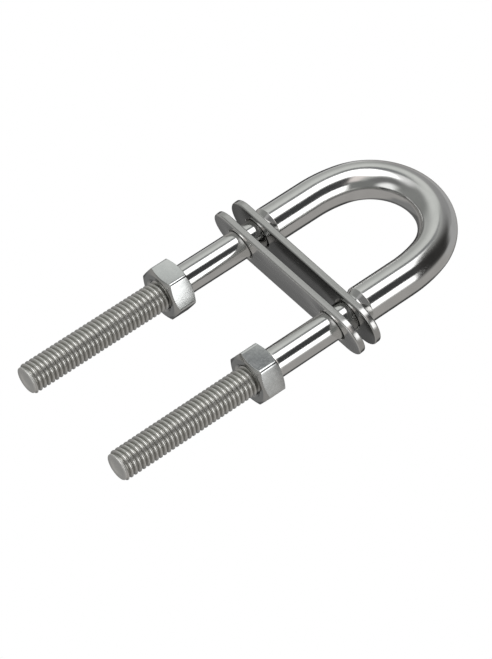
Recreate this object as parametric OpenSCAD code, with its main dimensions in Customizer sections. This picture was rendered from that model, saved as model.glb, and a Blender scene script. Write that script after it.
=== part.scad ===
// Bow-eye pad eye: one bent stainless bar with two threaded legs, a deck plate, a backing plate and two nuts.
// Millimetres. The origin is on the underside of the deck plate, midway between the legs.
// +Z is the pull direction through the eye, the legs run down -Z, and X runs from leg to leg.

/* [Bar and eye] */
// Centre to centre of the two legs
leg_spacing = 35; // [25:0.5:60]
// Diameter of the bar round the eye
bar_d = 10; // [8:0.5:16]
// Height at which the sides start to lean in
bend_z = 17.4; // [8:0.1:30]
// Centreline radius of the crown
crown_r = 16.8; // [14:0.1:17.4]

/* [Shoulders and shanks] */
// Height where the full bar ends and the shoulder cone begins
shoulder_z = 3.85; // [2.5:0.05:8]
// Length of the shoulder cone
shoulder_len = 1.65; // [0.5:0.05:3]
// Diameter of the turned shank
shank_d = 8; // [6:0.5:12]

/* [Thread] */
// Major diameter of the rolled thread
thread_d = 7.8; // [5:0.01:12]
// Thread pitch
pitch = 1.25; // [0.5:0.25:2]
// Height of the top of the thread
thread_top_z = -24.5; // [-40:0.1:-10]
// Height of the leg tips
tip_z = -71.9; // [-120:0.1:-50]
// Radius of the flat end face of each leg
tip_face_r = 3.5; // [2:0.05:4]

/* [Plates] */
// Length of each plate
plate_len = 55.6; // [50:0.1:90]
// Width of each plate
plate_w = 12.4; // [11:0.1:30]
// Thickness of each plate
plate_t = 1.9; // [1:0.1:4]
// Diameter of the two holes in each plate
plate_hole_d = 9; // [8.2:0.1:12]
// How far the loose deck plate leans over towards -Y, in degrees
deck_lean = 7.5; // [0:0.5:14]
// How far its +X end hangs down, in degrees
deck_tip = 1; // [0:0.5:3]
// How far the loose backing plate leans over towards -Y, in degrees
backing_lean = 11.5; // [0:0.5:14]
// How far its +X end hangs down, in degrees
backing_tip = 0.6; // [0:0.1:3]
// Height of the backing plate's underside
backing_z = -5.3; // [-20:0.1:-3]

/* [Nuts] */
// Across flats of the hexagon
nut_af = 13; // [10:0.5:19]
// Nut height
nut_h = 6.5; // [4:0.1:10]
// Diameter of the flat ring left by the chamfer on each face
nut_face_d = 11.8; // [9:0.1:13]
// Diameter of the hole through the nut
nut_bore_d = 8; // [6:0.01:12]
// Diameter of the countersink at each mouth of the nut
nut_sink_d = 8.8; // [7:0.1:12]
// Underside height of the nut on the +X leg
nut_right_z = -32.1; // [-60:0.05:-20]
// Underside height of the nut on the -X leg
nut_left_z = -31.05; // [-60:0.05:-20]
// Turn of the nut on the +X leg, in degrees
nut_right_turn = 3.8; // [0:0.1:60]
// Turn of the nut on the -X leg, in degrees
nut_left_turn = 1; // [0:0.1:60]

/* [Hidden] */
$fn = 96;
half = leg_spacing / 2;
// each side leans in by the small angle of a 7-24-25 triangle before the crown takes over
lean_sin = 0.28;
lean_cos = 0.96;
side_r = (half - crown_r * lean_cos) / (1 - lean_cos);
crown_z = bend_z + (side_r - crown_r) * lean_sin;
thread_r = thread_d / 2;
// a 60 degree groove with a crest flat of an eighth of the pitch
groove_deep = 0.56 * pitch;
root_r = thread_r - groove_deep;
flank = groove_deep * tan(30);
crest = pitch / 8;
lead = thread_r - tip_face_r;
first_z = tip_z + lead + 0.35;
grooves = floor((thread_top_z - 0.3 - first_z) / pitch);

// One straight leg, turned about its own axis: tip chamfer, thread, shank, shoulder cone, full bar.
module leg() {
  rotate_extrude()
    polygon(concat(
      [[0, tip_z], [tip_face_r, tip_z], [thread_r, tip_z + lead]],
      [for (i = [0:grooves - 1], k = [0:3])
        let (z = first_z + i * pitch)
          [k == 1 || k == 2 ? root_r : thread_r,
           z + (k == 0 ? 0 : k == 1 ? flank : k == 2 ? pitch - crest - flank : pitch - crest)]],
      [[thread_r, thread_top_z - 0.1], [shank_d / 2, thread_top_z],
       [shank_d / 2, shoulder_z - shoulder_len], [bar_d / 2, shoulder_z],
       [bar_d / 2, bend_z], [0, bend_z]]));
}

// A ring of round bar with its centreline at radius r.
module ring(r) {
  rotate_extrude() translate([r, 0]) circle(d = bar_d);
}

// The slight lean above the +X leg: the piece of a large ring between the leg's top and the crown's end.
module side_bend() {
  reach = side_r + bar_d * 2;
  rotate([90, 0, 0])
    intersection() {
      translate([half - side_r, bend_z, 0]) ring(side_r);
      translate([0, 0, -bar_d])
        linear_extrude(height = 2 * bar_d)
          polygon([[half - side_r, bend_z], [half - side_r + reach, bend_z],
                   [half - side_r + reach * lean_cos, bend_z + reach * lean_sin]]);
    }
}

// The crown: the top of a ring, down to where each side takes over.
module crown() {
  reach = crown_r + bar_d * 2;
  rotate([90, 0, 0])
    intersection() {
      translate([0, crown_z, 0]) ring(crown_r);
      translate([0, 0, -bar_d])
        linear_extrude(height = 2 * bar_d)
          polygon([[0, crown_z], [reach * lean_cos, crown_z + reach * lean_sin],
                   [reach * lean_cos, crown_z + reach], [-reach * lean_cos, crown_z + reach],
                   [-reach * lean_cos, crown_z + reach * lean_sin]]);
    }
}

module u_bolt() {
  color([0.78, 0.79, 0.80])
    union() {
      for (s = [-1, 1]) translate([s * half, 0, 0]) leg();
      side_bend();
      mirror([1, 0, 0]) side_bend();
      crown();
    }
}

// A straight strip with rounded ends and two clearance holes.
module plate() {
  r = plate_w / 2;
  linear_extrude(height = plate_t)
    difference() {
      union() {
        square([plate_len - plate_w, plate_w], center = true);
        for (s = [-1, 1]) translate([s * (plate_len / 2 - r), 0]) circle(r = r);
      }
      for (s = [-1, 1]) translate([s * half, 0]) circle(d = plate_hole_d);
    }
}

// A plate hangs loose on the legs and turns about its own middle, with its underside still passing through height 0 between the legs.
module hung_plate(lean, tip) {
  translate([0, 0, plate_t / 2 / (cos(lean) * cos(tip))])
    rotate([lean, tip, 0])
      translate([0, 0, -plate_t / 2])
        plate();
}

module deck_plate() {
  color([0.70, 0.71, 0.72]) hung_plate(deck_lean, deck_tip);
}

module backing_plate() {
  color([0.64, 0.65, 0.66]) translate([0, 0, backing_z]) hung_plate(backing_lean, backing_tip);
}

// A plain hexagon nut, chamfered on both faces and countersunk at both mouths.
module nut() {
  slope = tan(30);
  out_r = nut_af;
  sink = (nut_sink_d - nut_bore_d) / 2;
  difference() {
    intersection() {
      cylinder(h = nut_h, d = nut_af / cos(30), $fn = 6);
      rotate_extrude()
        polygon([[0, 0], [nut_face_d / 2, 0],
                 [out_r, (out_r - nut_face_d / 2) * slope],
                 [out_r, nut_h - (out_r - nut_face_d / 2) * slope],
                 [nut_face_d / 2, nut_h], [0, nut_h]]);
    }
    translate([0, 0, -1]) cylinder(h = nut_h + 2, d = nut_bore_d);
    rotate_extrude()
      polygon([[0, -1], [nut_sink_d / 2 + 1, -1], [nut_sink_d / 2, 0],
               [nut_bore_d / 2 - 1, sink + 1], [0, sink + 1]]);
    translate([0, 0, nut_h]) mirror([0, 0, 1])
      rotate_extrude()
        polygon([[0, -1], [nut_sink_d / 2 + 1, -1], [nut_sink_d / 2, 0],
                 [nut_bore_d / 2 - 1, sink + 1], [0, sink + 1]]);
  }
}

module nut_right() {
  color([0.60, 0.61, 0.62])
    translate([half, 0, nut_right_z]) rotate([0, 0, nut_right_turn]) nut();
}

module nut_left() {
  color([0.60, 0.61, 0.62])
    translate([-half, 0, nut_left_z]) rotate([0, 0, nut_left_turn]) nut();
}

u_bolt();
deck_plate();
backing_plate();
nut_right();
nut_left();
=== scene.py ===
import bpy, bmesh, math
import numpy as np
from mathutils import Matrix, Vector


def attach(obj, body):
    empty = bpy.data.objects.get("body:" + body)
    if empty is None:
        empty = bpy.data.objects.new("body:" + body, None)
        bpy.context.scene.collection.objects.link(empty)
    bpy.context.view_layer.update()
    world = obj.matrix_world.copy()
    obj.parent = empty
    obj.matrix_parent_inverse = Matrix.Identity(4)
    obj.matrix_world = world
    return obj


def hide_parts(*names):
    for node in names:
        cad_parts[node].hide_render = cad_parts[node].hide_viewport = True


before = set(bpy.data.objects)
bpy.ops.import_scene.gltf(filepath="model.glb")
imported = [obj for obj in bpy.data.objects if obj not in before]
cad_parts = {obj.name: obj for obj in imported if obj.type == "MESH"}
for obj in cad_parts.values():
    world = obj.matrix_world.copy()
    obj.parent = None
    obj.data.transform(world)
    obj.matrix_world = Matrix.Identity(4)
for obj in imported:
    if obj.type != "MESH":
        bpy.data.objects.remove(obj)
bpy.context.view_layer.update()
MM = 0.001

# ---------------------------------------------------------------- sizes, in mm, as in the part's own source
HALF, BAR_R, SHANK_R = 17.5, 5.0, 4.0
BEND_Z, SIDE_R, CROWN_R, CROWN_Z = 17.4, 34.3, 16.8, 22.3
LEAN = math.atan2(0.28, 0.96)
SHOULDER_Z, SHOULDER_LEN = 3.85, 1.65
CREST_R, ROOT_R, PITCH = 3.9, 3.2, 1.25
THREAD_TOP, TIP_Z, TIP_FACE_R = -24.5, -71.9, 3.5
PLATE_L, PLATE_W, PLATE_T, HOLE_R = 55.6, 12.4, 1.9, 4.5
DECK_HANG, BACKING_HANG = (7.5, 1.0), (11.5, 0.6)     # how far each loose plate leans and tips, in degrees
NUT_AF, NUT_H, NUT_FACE_R, NUT_BORE_R, NUT_SINK_R = 13.0, 6.5, 5.9, 4.0, 4.4


# ---------------------------------------------------------------- mesh helpers
def make(name, verts_mm, faces, uv=None, smooth=True, angle=40):
    me = bpy.data.meshes.new(name)
    me.from_pydata([tuple(v) for v in (np.asarray(verts_mm, float) * MM)], [], faces)
    if uv is not None:
        layer = me.uv_layers.new(name="UVMap")
        layer.data.foreach_set("uv", np.asarray(uv, np.float32).ravel())
    me.update()
    ob = bpy.data.objects.new(name, me)
    bpy.context.scene.collection.objects.link(ob)
    if smooth:
        me.polygons.foreach_set("use_smooth", [True] * len(me.polygons))
        me.set_sharp_from_angle(angle=math.radians(angle))
    return ob


def arc2(cx, cy, r, a0, a1, n):
    """Points on an arc in a plane, degrees."""
    a = np.radians(np.linspace(a0, a1, n))
    return np.stack([cx + r * np.cos(a), cy + r * np.sin(a)], 1)


def fillet(points, radius, n=4, closed=False):
    """Rounds each inner corner of a polyline of (r, z) points with the given radius, or less where there is no room."""
    out = []
    m = len(points)
    for i, p in enumerate(points):
        p = np.array(p[:2], float)
        if not closed and i in (0, m - 1):
            out.append(p)
            continue
        a, b = np.array(points[i - 1][:2], float), np.array(points[(i + 1) % m][:2], float)
        rad = points[i][2] if len(points[i]) > 2 else radius
        u, v = a - p, b - p
        lu, lv = np.linalg.norm(u), np.linalg.norm(v)
        if rad <= 0 or lu < 1e-9 or lv < 1e-9:
            out.append(p)
            continue
        u, v = u / lu, v / lv
        ang = math.acos(max(-1, min(1, float(u @ v))))
        if ang > math.pi - 0.02:
            out.append(p)
            continue
        d = min(rad / math.tan(ang / 2), lu * 0.45, lv * 0.45)
        s, e = p + u * d, p + v * d
        for t in np.linspace(0, 1, n):
            out.append((1 - t) ** 2 * s + 2 * t * (1 - t) * p + t * t * e)
    return np.array(out)


# ---------------------------------------------------------------- the bent bar with its two threaded legs
def thread_radius(z, phi):
    """Outer radius of a right-handed M8 x 1.25 thread at height z and angle phi about the leg, run out at the top and chamfered at the tip."""
    u = (z / PITCH - phi / (2 * math.pi)) % 1.0
    d = np.minimum(u, 1 - u) * PITCH                 # distance from the crest's middle
    deep = CREST_R - ROOT_R
    r = CREST_R - np.clip((d - CREST_HALF) / (deep * math.tan(math.radians(30))), 0, 1) * deep
    fade = np.clip((THREAD_TOP + 0.1 - z) / (1.5 * PITCH), 0, 1)
    r = SHANK_R - (SHANK_R - r) * (fade * fade * (3 - 2 * fade))
    r = np.minimum(r, TIP_FACE_R + (z - TIP_Z - 0.12) * 0.75)
    near = np.clip((z - TIP_Z - 0.12) / 0.7, 0, 1)
    return TIP_FACE_R + (r - TIP_FACE_R) * (near * near * (3 - 2 * near))


def middle_rows():
    """Rings from the top of the +X leg's thread to the top of the crown: (centre x, centre z, normal x, normal z, radius)."""
    rows = []
    prof = fillet([(SHANK_R, THREAD_TOP + 0.2), (SHANK_R, SHOULDER_Z - SHOULDER_LEN, 0.35), (BAR_R, SHOULDER_Z, 0.45), (BAR_R, SHOULDER_Z + 3)], 0.4, 7)
    dense = [prof[0]]
    for q in prof[1:]:
        k = max(1, int(abs(q[1] - dense[-1][1]) / 1.5))
        p0 = dense[-1]
        for t in range(1, k + 1):
            dense.append(p0 + (q - p0) * t / k)
    for r, z in dense:
        rows.append((HALF, z, 1, 0, r))
    for z in np.linspace(SHOULDER_Z + 3, BEND_Z, 9)[1:-1]:
        rows.append((HALF, z, 1, 0, BAR_R))
    for a in np.linspace(0, LEAN, 12):
        rows.append((HALF - SIDE_R + SIDE_R * math.cos(a), BEND_Z + SIDE_R * math.sin(a), math.cos(a), math.sin(a), BAR_R))
    for a in np.linspace(LEAN, math.pi / 2, 45)[1:]:
        rows.append((CROWN_R * math.cos(a), CROWN_Z + CROWN_R * math.sin(a), math.cos(a), math.sin(a), BAR_R))
    return rows


CREST_HALF = PITCH / 16
STEPS = (-0.0625, 0.0, 0.0625, 0.15, 0.24, 0.33, 0.386, 0.5, 0.614, 0.67, 0.76, 0.85)      # rows in one pitch: on the crest's and the root's own edges


def build_bar(n=84):
    th = np.linspace(0, 2 * math.pi, n + 1)
    verts, faces, uv = [], [], []
    count = 0

    def add(grid, v_of):
        """A grid of vertices, rows by n + 1 columns, and its faces; the doubled seam and the rows that lie on each other are merged later."""
        nonlocal count
        m = grid.shape[0]
        verts.append(grid.reshape(-1, 3))
        for i in range(m - 1):
            for k in range(n):
                a, b = count + i * (n + 1) + k, count + (i + 1) * (n + 1) + k
                faces.append((a, a + 1, b + 1, b))
                uv.extend([(k / n, v_of[i]), ((k + 1) / n, v_of[i]), ((k + 1) / n, v_of[i + 1]), (k / n, v_of[i + 1])])
        count += m * (n + 1)

    z_lo, z_hi = TIP_Z + 0.12, THREAD_TOP + 0.2
    half = middle_rows()
    rows = half + [(-c[0], c[1], -c[2], c[3], c[4]) for c in half[-2::-1]]
    arc, s, last = [], 0.0, None
    for cx, cz, nx, nz, r in rows:
        if last is not None:
            s += math.hypot(cx - last[0], cz - last[1])
        last = (cx, cz)
        arc.append(s)
    for side in (1, -1):
        phi = th if side == 1 else math.pi - th
        first, past = int(math.floor(z_lo / PITCH)) - 2, int(math.ceil(z_hi / PITCH)) + 2
        grid, v_of = [], []
        for t in range(first, past):
            for u in STEPS:
                z = PITCH * (t + u) + PITCH * phi / (2 * math.pi)
                zc = np.clip(z, z_lo, z_hi)
                r = thread_radius(zc, phi)
                grid.append(np.stack([side * (HALF + r * np.cos(th)), r * np.sin(th), zc], 1))
                v_of.append((-(z_hi - PITCH * (t + u)) if side == 1 else s + (z_hi - PITCH * (t + u))) / 100)
        add(np.array(grid), v_of)
    grid = []
    for cx, cz, nx, nz, r in rows:
        grid.append(np.stack([cx + r * np.cos(th) * nx, r * np.sin(th), cz + r * np.cos(th) * nz], 1))
    add(np.array(grid), [a / 100 for a in arc])
    # the tips: a rounded edge, a flat ring and a shallow cup left by the bar's cropping
    cup = [(TIP_FACE_R, 0.12), (TIP_FACE_R - 0.08, 0.04), (TIP_FACE_R - 0.22, 0.0), (2.55, 0.0), (2.3, 0.03), (2.05, 0.14), (1.8, 0.24), (1.4, 0.29), (0.7, 0.30), (1e-9, 0.30)]
    for side in (1, -1):
        grid = [np.stack([side * (HALF + r * np.cos(th)), r * np.sin(th), np.full(n + 1, TIP_Z + z)], 1) for r, z in cup]
        add(np.array(grid), [r / 100 - 0.6 for r, z in cup])
    ob = make("bent_bar", np.concatenate(verts), faces, uv, angle=50)
    bm = bmesh.new()
    bm.from_mesh(ob.data)
    bmesh.ops.remove_doubles(bm, verts=bm.verts, dist=0.0000005)
    bmesh.ops.dissolve_degenerate(bm, dist=0.0000005, edges=bm.edges)
    bmesh.ops.recalc_face_normals(bm, faces=bm.faces)
    open_edges = sum(1 for e in bm.edges if len(e.link_faces) != 2)
    print("bent_bar faces", len(bm.faces), "edges not shared by two faces", open_edges)
    bm.to_mesh(ob.data)
    bm.free()
    ob.data.polygons.foreach_set("use_smooth", [True] * len(ob.data.polygons))
    ob.data.set_sharp_from_angle(angle=math.radians(42))
    return ob


# ---------------------------------------------------------------- the two plates
def stadium(inset, n_end=40, n_side=30):
    """The plate's outline, moved in by inset: straight sides and half-round ends."""
    w, l = PLATE_W / 2 - inset, PLATE_L / 2
    c = l - PLATE_W / 2
    pts = [(c + w * math.cos(a), w * math.sin(a)) for a in np.linspace(-math.pi / 2, math.pi / 2, n_end)]
    pts += [(x, w) for x in np.linspace(c, -c, n_side)[1:-1]]
    pts += [(-c - w * math.cos(a), -w * math.sin(a)) for a in np.linspace(-math.pi / 2, math.pi / 2, n_end)]
    pts += [(x, -w) for x in np.linspace(-c, c, n_side)[1:-1]]
    return np.array(pts)


def circle_pts(cx, r, n=64):
    a = np.linspace(0, 2 * math.pi, n, endpoint=False)
    return np.stack([cx + r * np.cos(a), r * np.sin(a)], 1)


def build_plate(name, height, hang):
    """A pressed plate: its edges are rounded over, and its holes have broken edges."""
    z0 = 0.0
    e = 0.45
    rim = [(e * (1 - math.sin(a)), e * (1 - math.cos(a))) for a in np.linspace(0, math.pi / 2, 6)]          # (inset, height from the face)
    h = 0.25
    lip = [(h * (1 - math.sin(a)), h * (1 - math.cos(a))) for a in np.linspace(0, math.pi / 2, 4)]
    bm = bmesh.new()

    def ring(points, z):
        return [bm.verts.new((x, y, z)) for x, y in points]

    def strip(a, b):
        for i in range(len(a)):
            j = (i + 1) % len(a)
            bm.faces.new((a[i], a[j], b[j], b[i]))

    caps = {}
    outer = [ring(stadium(i), z0 + t) for i, t in rim] + [ring(stadium(i), z0 + PLATE_T - t) for i, t in rim[::-1]]
    for a, b in zip(outer, outer[1:]):
        strip(a, b)
    loops = [[outer[0]], [outer[-1]]]
    for cx in (-HALF, HALF):
        hole = [ring(circle_pts(cx, HOLE_R + i), z0 + t) for i, t in lip] + [ring(circle_pts(cx, HOLE_R + i), z0 + PLATE_T - t) for i, t in lip[::-1]]
        for a, b in zip(hole, hole[1:]):
            strip(b, a)
        loops[0].append(hole[0])
        loops[1].append(hole[-1])
    for group in loops:
        edges = []
        for loop in group:
            for i in range(len(loop)):
                v, w = loop[i], loop[(i + 1) % len(loop)]
                edges.append(bm.edges.get((v, w)) or bm.edges.new((v, w)))
        bmesh.ops.triangle_fill(bm, use_beauty=True, use_dissolve=False, edges=edges)
    bmesh.ops.recalc_face_normals(bm, faces=bm.faces)
    lean, tip = math.radians(hang[0]), math.radians(hang[1])
    place = (Matrix.Translation((0, 0, height + PLATE_T / 2 / (math.cos(lean) * math.cos(tip))))
             @ Matrix.Rotation(tip, 4, "Y") @ Matrix.Rotation(lean, 4, "X") @ Matrix.Translation((0, 0, -PLATE_T / 2)))
    for v in bm.verts:
        v.co = (place @ v.co) * MM
    me = bpy.data.meshes.new(name)
    bm.to_mesh(me)
    bm.free()
    ob = bpy.data.objects.new(name, me)
    bpy.context.scene.collection.objects.link(ob)
    me.polygons.foreach_set("use_smooth", [True] * len(me.polygons))
    me.set_sharp_from_angle(angle=math.radians(35))
    return ob


# ---------------------------------------------------------------- the two nuts
def build_nut(name, cx, z0, turn):
    """A hexagon nut: flats with softened corners, 30 degree chamfers that cut the flats in arcs, and a countersunk bore."""
    cols = []
    corner = 0.28
    for f in range(6):
        a0 = math.radians(turn + 60 * f)             # a corner points along this angle
        for t in np.concatenate([np.linspace(-2.6, 2.6, 9), np.linspace(2.6, 57.4, 25)[1:-1]]):
            cols.append((a0 + math.radians(t), t))
    half = NUT_AF / 2
    tan30 = math.tan(math.radians(30))
    verts, faces, rows = [], [], None
    for a, t in cols:
        off = math.radians(abs(30 - ((t + 60) % 60)))
        big = half / math.cos(off)
        if abs(t) < 2.6:                             # a softened corner: an arc that meets both flats
            edge = half / math.cos(math.radians(30 - 2.6))
            big = edge + (1 - (t / 2.6) ** 2) * 0.055
        zc = (big - NUT_FACE_R) * tan30
        prof = [(NUT_BORE_R, NUT_SINK_R - NUT_BORE_R), (NUT_SINK_R + 0.25, 0.0, 0.05), (NUT_FACE_R, 0.0, 0.12), (big, zc, 0.10),
                (big, NUT_H - zc, 0.10), (NUT_FACE_R, NUT_H, 0.12), (NUT_SINK_R + 0.25, NUT_H, 0.05), (NUT_BORE_R, NUT_H - (NUT_SINK_R - NUT_BORE_R))]
        p = fillet(prof, 0.1, 4)
        rows = len(p)
        for r, z in p:
            verts.append((cx + r * math.cos(a), r * math.sin(a), z0 + z))
    n = len(cols)
    for i in range(n):
        j = (i + 1) % n
        for k in range(rows):
            k2 = (k + 1) % rows
            faces.append((i * rows + k, j * rows + k, j * rows + k2, i * rows + k2))
    ob = make(name, verts, faces, None, angle=32)
    bm = bmesh.new()
    bm.from_mesh(ob.data)
    bmesh.ops.recalc_face_normals(bm, faces=bm.faces)
    bm.to_mesh(ob.data)
    bm.free()
    return ob


bar = build_bar()
deck_plate = build_plate("deck_plate_pressed", 0.0, DECK_HANG)
backing_plate = build_plate("backing_plate_pressed", -5.3, BACKING_HANG)
nut_r = build_nut("nut_right_hex", HALF, -32.1, 3.8)
nut_l = build_nut("nut_left_hex", -HALF, -31.05, 1.0)

# ---------------------------------------------------------------- node helpers
def lin(v):
    return ((v + 0.055) / 1.055) ** 2.4 if v > 0.04045 else v / 12.92


class Net:
    """A short way to write node trees."""

    def __init__(self, tree):
        self.t = tree
        tree.nodes.clear()

    def node(self, kind, **props):
        n = self.t.nodes.new(kind)
        for k, v in props.items():
            setattr(n, k, v)
        return n

    def put(self, socket, value):
        if hasattr(value, "is_output"):
            self.t.links.new(value, socket)
        elif value is not None:
            socket.default_value = value

    def math(self, op, a, b=None, c=None, clamp=False):
        n = self.node("ShaderNodeMath", operation=op, use_clamp=clamp)
        for i, v in enumerate((a, b, c)):
            self.put(n.inputs[i], v)
        return n.outputs[0]

    def remap(self, v, a0, a1, b0, b1, kind="LINEAR"):
        n = self.node("ShaderNodeMapRange", interpolation_type=kind, clamp=True)
        for i, x in enumerate((v, a0, a1, b0, b1)):
            self.put(n.inputs[i], x)
        return n.outputs[0]

    def mix(self, f, a, b, blend="MIX"):
        n = self.node("ShaderNodeMix", data_type="RGBA", blend_type=blend)
        self.put(n.inputs[0], f)
        self.put(n.inputs[6], a)
        self.put(n.inputs[7], b)
        return n.outputs[2]

    def noise(self, vector, scale, detail=3.0, rough=0.55, stretch=None, distort=0.0):
        if stretch is not None:
            m = self.node("ShaderNodeMapping")
            self.put(m.inputs["Vector"], vector)
            m.inputs["Scale"].default_value = stretch
            vector = m.outputs[0]
        n = self.node("ShaderNodeTexNoise")
        self.put(n.inputs["Vector"], vector)
        n.inputs["Scale"].default_value = scale
        n.inputs["Detail"].default_value = detail
        n.inputs["Roughness"].default_value = rough
        n.inputs["Distortion"].default_value = distort
        return n.outputs["Fac"]


def material(name):
    m = bpy.data.materials.new(name)
    m.use_nodes = True
    net = Net(m.node_tree)
    out = net.node("ShaderNodeOutputMaterial")
    p = net.node("ShaderNodeBsdfPrincipled")
    net.t.links.new(p.outputs[0], out.inputs[0])
    p.inputs["Metallic"].default_value = 1.0
    return m, net, p


def bump(net, p, height, distance, strength=1.0):
    b = net.node("ShaderNodeBump")
    b.inputs["Strength"].default_value = strength
    b.inputs["Distance"].default_value = distance
    net.put(b.inputs["Height"], height)
    net.t.links.new(b.outputs[0], p.inputs["Normal"])


def steel_bar():
    """Polished stainless bar: faint lines drawn along it, small dull patches, a duller, greyer thread, and thread roots
    darkened with painted shade and some dirt.
    """
    m, net, p = material("stainless_polished")
    tc = net.node("ShaderNodeTexCoord")
    obj, uv = tc.outputs["Object"], tc.outputs["UV"]
    drawn = net.noise(uv, 1.0, 4, 0.6, stretch=(60, 26, 1))            # lines along the bar
    fine = net.noise(obj, 2600, 2, 0.6)
    cloud = net.noise(obj, 130, 4, 0.55)
    sep = net.node("ShaderNodeSeparateXYZ")
    net.put(sep.inputs[0], obj)
    thread = net.remap(sep.outputs[2], -0.0250, -0.0240, 1.0, 0.0)
    # how deep a point lies in the thread: 0 on the crest, 1 at the root
    off = net.math("SUBTRACT", net.math("ABSOLUTE", sep.outputs[0]), HALF * MM)
    rad = net.math("SQRT", net.math("ADD", net.math("MULTIPLY", off, off), net.math("MULTIPLY", sep.outputs[1], sep.outputs[1])))
    deep = net.math("MULTIPLY", net.remap(rad, (ROOT_R + 0.05) * MM, (CREST_R - 0.05) * MM, 1.0, 0.0), thread)
    end = net.remap(sep.outputs[2], (TIP_Z + 0.34) * MM, (TIP_Z + 0.40) * MM, 1.0, 0.0)
    deep = net.math("MULTIPLY", deep, net.math("SUBTRACT", 1.0, end))
    rough = net.math("ADD", net.remap(drawn, 0.3, 0.7, 0.085, 0.135), net.remap(cloud, 0.45, 0.7, 0.0, 0.03))
    rough = net.math("ADD", rough, net.remap(fine, 0.3, 0.7, 0.0, 0.02))
    rough = net.math("ADD", rough, net.math("MULTIPLY", thread, 0.19))
    rough = net.math("ADD", rough, net.math("MULTIPLY", deep, 0.12))
    rough = net.math("ADD", rough, net.math("MULTIPLY", end, 0.22))
    net.put(p.inputs["Roughness"], rough)
    base = net.mix(net.remap(cloud, 0.35, 0.65, 0.0, 1.0), (0.700, 0.700, 0.690, 1), (0.760, 0.758, 0.748, 1))
    base = net.mix(net.math("MULTIPLY", thread, 0.80), base, (0.85, 0.845, 0.82, 1))
    # painted shade, with some dirt: the thread's roots are darkened in colour, more the deeper they lie
    base = net.mix(net.math("POWER", deep, 1.2), base, (0.42, 0.415, 0.39, 1))
    net.put(p.inputs["Base Color"], base)
    h = net.math("ADD", net.math("MULTIPLY", drawn, 0.5), net.math("MULTIPLY", fine, 0.5))
    bump(net, p, h, 0.0000055)
    return m


def steel_plate():
    m, net, p = material("stainless_pressed_sheet")
    tc = net.node("ShaderNodeTexCoord")
    obj = tc.outputs["Object"]
    grain = net.noise(obj, 1.0, 4, 0.6, stretch=(60, 1500, 1500))       # rolling grain along the plate
    fine = net.noise(obj, 2200, 2, 0.6)
    cloud = net.noise(obj, 160, 4, 0.55)
    rough = net.math("ADD", net.remap(grain, 0.3, 0.7, 0.16, 0.26), net.remap(fine, 0.3, 0.7, 0.0, 0.03))
    net.put(p.inputs["Roughness"], rough)
    base = net.mix(net.remap(cloud, 0.35, 0.65, 0.0, 1.0), (0.63, 0.628, 0.615, 1), (0.71, 0.708, 0.695, 1))
    geo, sep, place = net.node("ShaderNodeNewGeometry"), net.node("ShaderNodeSeparateXYZ"), net.node("ShaderNodeSeparateXYZ")
    net.put(sep.inputs[0], geo.outputs["True Normal"])
    net.put(place.inputs[0], obj)
    rim = net.remap(net.math("ABSOLUTE", sep.outputs[2]), 0.4, 0.7, 1.0, 0.0)
    under = net.remap(sep.outputs[2], -0.9, -0.7, 1.0, 0.0)
    upper = net.remap(place.outputs[2], -0.0026, -0.0018, 0.0, 1.0)                             # the deck plate lies above this height, the backing plate below it
    # painted shade: the plates' rounded edges, whose normals lie near the sheet's plane, are darkened in colour
    base = net.mix(rim, base, (0.56, 0.558, 0.548, 1))
    # painted light: each plate's downward face is lightened in colour
    base = net.mix(under, base, (0.84, 0.838, 0.825, 1))
    base = net.mix(net.math("MULTIPLY", under, upper), base, (0.32, 0.32, 0.315, 1))            # painted shade: the deck plate's underside, between the two plates, is darkened in colour as if in their shadow
    net.put(p.inputs["Base Color"], base)
    bump(net, p, net.math("ADD", net.math("MULTIPLY", grain, 0.6), net.math("MULTIPLY", fine, 0.4)), 0.000006)
    return m


def steel_nut():
    m, net, p = material("stainless_nut")
    tc = net.node("ShaderNodeTexCoord")
    obj = tc.outputs["Object"]
    grain = net.noise(obj, 1.0, 3, 0.6, stretch=(900, 900, 120))
    fine = net.noise(obj, 1700, 3, 0.65)
    cloud = net.noise(obj, 260, 4, 0.55)
    rough = net.math("ADD", net.remap(fine, 0.3, 0.7, 0.11, 0.18), net.remap(grain, 0.3, 0.7, 0.0, 0.03))
    net.put(p.inputs["Roughness"], rough)
    base = net.mix(net.remap(cloud, 0.35, 0.65, 0.0, 1.0), (0.66, 0.675, 0.672, 1), (0.74, 0.752, 0.748, 1))
    sep = net.node("ShaderNodeSeparateXYZ")
    geo = net.node("ShaderNodeNewGeometry")
    net.put(sep.inputs[0], geo.outputs["True Normal"])
    ends = net.remap(net.math("ABSOLUTE", sep.outputs[2]), 0.45, 0.75, 0.0, 1.0)                  # the turned ends and chamfers are duller than the flats
    net.put(p.inputs["Base Color"], net.mix(net.math("MULTIPLY", ends, 0.40), base, (0.30, 0.288, 0.27, 1)))
    bump(net, p, net.math("ADD", net.math("MULTIPLY", grain, 0.4), net.math("MULTIPLY", fine, 0.6)), 0.000010)
    return m


bar_mat, plate_mat, nut_mat = steel_bar(), steel_plate(), steel_nut()
for ob, m in ((bar, bar_mat), (deck_plate, plate_mat), (backing_plate, plate_mat), (nut_r, nut_mat), (nut_l, nut_mat)):
    ob.data.materials.append(m)

for ob, body, node, slot in ((bar, "bar", "u_bolt", "bar_steel"), (deck_plate, "deck_plate", "deck_plate", "plate_steel"),
                             (backing_plate, "backing_plate", "backing_plate", "plate_steel"),
                             (nut_r, "nut_right", "nut_right", "nut_steel"), (nut_l, "nut_left", "nut_left", "nut_steel")):
    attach(ob, body)
    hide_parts(node)

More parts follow.
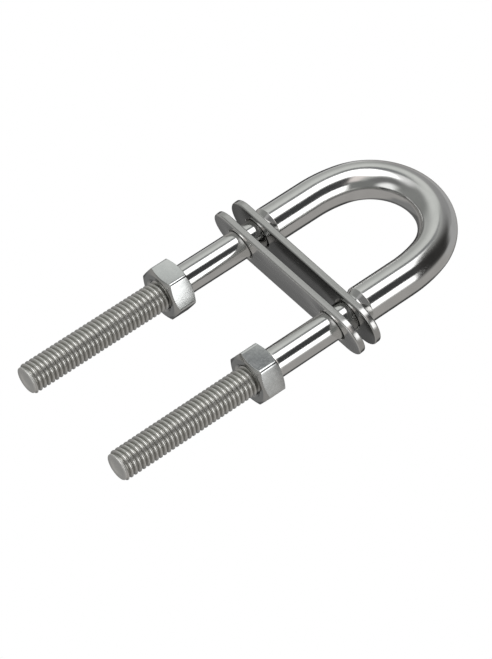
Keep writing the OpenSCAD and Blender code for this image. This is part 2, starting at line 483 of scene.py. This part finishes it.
# ---------------------------------------------------------------- camera
cam_data = bpy.data.cameras.new("camera")
cam_data.sensor_fit = "AUTO"
cam_data.sensor_width = 36.0
cam_data.lens = 165.09
cam_data.clip_start, cam_data.clip_end = 0.01, 50
cam = bpy.data.objects.new("camera", cam_data)
bpy.context.scene.collection.objects.link(cam)
cam.matrix_world = Matrix(((0.64068, -0.57035, 0.51404, 0.38102),
                           (0.03074, -0.64990, -0.75940, -0.55563),
                           (0.76719, 0.50233, -0.39884, -0.31385),
                           (0, 0, 0, 1)))
bpy.context.scene.camera = cam

# ---------------------------------------------------------------- studio: soft boxes and dark cards all round, on a white ground
world = bpy.data.worlds.new("studio")
bpy.context.scene.world = world
world.use_nodes = True
net = Net(world.node_tree)
tc = net.node("ShaderNodeTexCoord")
sep = net.node("ShaderNodeSeparateXYZ")
net.put(sep.inputs[0], tc.outputs["Generated"])
azim = net.math("MULTIPLY", net.math("ARCTAN2", sep.outputs[1], sep.outputs[0]), 57.2958)
elev = net.math("MULTIPLY", net.math("ARCSINE", sep.outputs[2]), 57.2958)


def grey(v, tint=(1, 1, 1), gain=1.0):
    x = lin(v) / 0.73 * gain
    return (x * tint[0], x * tint[1], x * tint[2], 1)


def ramp(value, at, soft, up=True):
    lo_, hi_ = at - soft / 2, at + soft / 2
    return net.remap(value, lo_, hi_, 0.0 if up else 1.0, 1.0 if up else 0.0, "SMOOTHSTEP")


def card(under, az, el, value, soft=(6, 6, 6, 6), tint=(1, 1, 1), gain=1.0, strength=1.0):
    """Lays a soft-edged card over what is there: az and el are (from, to) in degrees, soft is the width of the edges left, right, bottom, top."""
    masks = []
    if az[0] > -180:
        masks.append(ramp(azim, az[0], soft[0], True))
    if az[1] < 180:
        masks.append(ramp(azim, az[1], soft[1], False))
    if el[0] > -90:
        masks.append(ramp(elev, el[0], soft[2], True))
    if el[1] < 90:
        masks.append(ramp(elev, el[1], soft[3], False))
    f = masks[0]
    for x in masks[1:]:
        f = net.math("MULTIPLY", f, x)
    if strength != 1.0:
        f = net.math("MULTIPLY", f, strength)
    return net.mix(f, under, grey(value, tint, gain))


GREEN, WARM, COOL = (0.98, 1.0, 0.97), (1.03, 1.0, 0.97), (0.97, 1.0, 1.02)
sky = grey(0.57, WARM)
sky = card(sky, (-180, 0), (-90, 90), 0.62, (1, 30, 1, 1), GREEN)                       # left of the camera: a pale wall
sky = card(sky, (-180, 180), (55, 90), 0.60, (1, 1, 20, 1))                             # beyond the eye
sky = card(sky, (-180, -60), (44, 86), 0.53, (1, 40, 16, 10))
sky = card(sky, (-180, -112), (-75, -8), 0.48, (1, 20, 20, 24), GREEN)
sky = card(sky, (-118, -20), (-60, -24), 0.41, (40, 30, 12, 10))                        # dark strip under the big soft box
sky = card(sky, (-45, 8), (-62, 0), 0.44, (14, 16, 20, 6), GREEN)
sky = card(sky, (-92, -18), (-84, -52), 0.93, (50, 30, 12, 16))                         # light from below the tips
sky = card(sky, (-148, -121), (0, 42), 0.75, (36, 5, 24, 14), GREEN)
sky = card(sky, (-98, 6), (28, 68), 0.25, (50, 24, 4, 20), WARM)                       # large dark card above the soft boxes
sky = card(sky, (-72, -10), (32, 66), 0.17, (30, 18, 4, 24), WARM)
sky = card(sky, (-76, -29), (2, 30), 0.22, (8, 4, 8, 4), COOL)                          # dark gap between the soft boxes
sky = card(sky, (-74, -44), (-14, 4), 0.80, (8, 14, 12, 8), (1.08, 1.0, 0.97))          # a warm patch under the gap
sky = card(sky, (-119, -100), (-24, 6), 0.80, (10, 10, 30, 8))
sky = card(sky, (-119, -105), (8, 34), 0.45, (3, 3, 8, 8), COOL)                        # a narrow grey card that the near nut's top flat faces
sky = card(sky, (-106, -73), (-17, 30), 1.0, (7, 11, 12, 3), gain=1.6)                   # big soft box
sky = card(sky, (-32, -3), (3, 29), 1.0, (5, 15, 5, 3), gain=1.5)                         # second soft box
sky = card(sky, (138, 180), (14, 40), 0.76, (14, 1, 8, 14))
sky = card(sky, (96, 156), (-50, -12), 0.46, (16, 16, 20, 14))                          # what the tips face
sky = card(sky, (94, 154), (-13, 44), 0.34, (20, 20, 8, 14))                            # dark card behind the part: it draws the edges
sky = card(sky, (74, 172), (14, 34), 0.24, (14, 14, 8, 8))                              # and a darker strip that only the straight legs face
lp = net.node("ShaderNodeLightPath")
bg_light, bg_white = net.node("ShaderNodeBackground"), net.node("ShaderNodeBackground")
net.put(bg_light.inputs[0], sky)
bg_white.inputs[0].default_value = (1, 1, 1, 1)
ms, out = net.node("ShaderNodeMixShader"), net.node("ShaderNodeOutputWorld")
net.t.links.new(lp.outputs["Is Camera Ray"], ms.inputs[0])
net.t.links.new(bg_light.outputs[0], ms.inputs[1])
net.t.links.new(bg_white.outputs[0], ms.inputs[2])
net.t.links.new(ms.outputs[0], out.inputs[0])

# the floor: a pale sheet under the tips, seen only from above, so that it never hides the part from below
fm = bpy.data.materials.new("pale_floor")
fm.use_nodes = True
net = Net(fm.node_tree)
geo = net.node("ShaderNodeNewGeometry")
dif, emi, add = net.node("ShaderNodeBsdfDiffuse"), net.node("ShaderNodeEmission"), net.node("ShaderNodeAddShader")
dif.inputs[0].default_value = (0.80, 0.80, 0.80, 1)
emi.inputs[0].default_value = (1, 1, 1, 1)
emi.inputs[1].default_value = 0.50
tra, ms, out = net.node("ShaderNodeBsdfTransparent"), net.node("ShaderNodeMixShader"), net.node("ShaderNodeOutputMaterial")
net.t.links.new(dif.outputs[0], add.inputs[0])
net.t.links.new(emi.outputs[0], add.inputs[1])
dist = net.node("ShaderNodeVectorMath")
dist.operation = "LENGTH"
net.put(dist.inputs[0], geo.outputs["Position"])
net.put(ms.inputs[0], net.math("MAXIMUM", geo.outputs["Backfacing"], net.remap(dist.outputs["Value"], 0.14, 0.60, 0.0, 1.0)))   # it fades out, so that no horizon shows
net.t.links.new(add.outputs[0], ms.inputs[1])
net.t.links.new(tra.outputs[0], ms.inputs[2])
net.t.links.new(ms.outputs[0], out.inputs[0])
me = bpy.data.meshes.new("floor")
fz = TIP_Z * MM - 0.0002
me.from_pydata([(-20, -20, fz), (20, -20, fz), (20, 20, fz), (-20, 20, fz)], [], [(0, 1, 2, 3)])
floor = bpy.data.objects.new("floor", me)
bpy.context.scene.collection.objects.link(floor)
me.materials.append(fm)
floor.visible_glossy = False
floor.visible_diffuse = False
floor.visible_shadow = False

bpy.context.scene.view_settings.view_transform = "Standard"
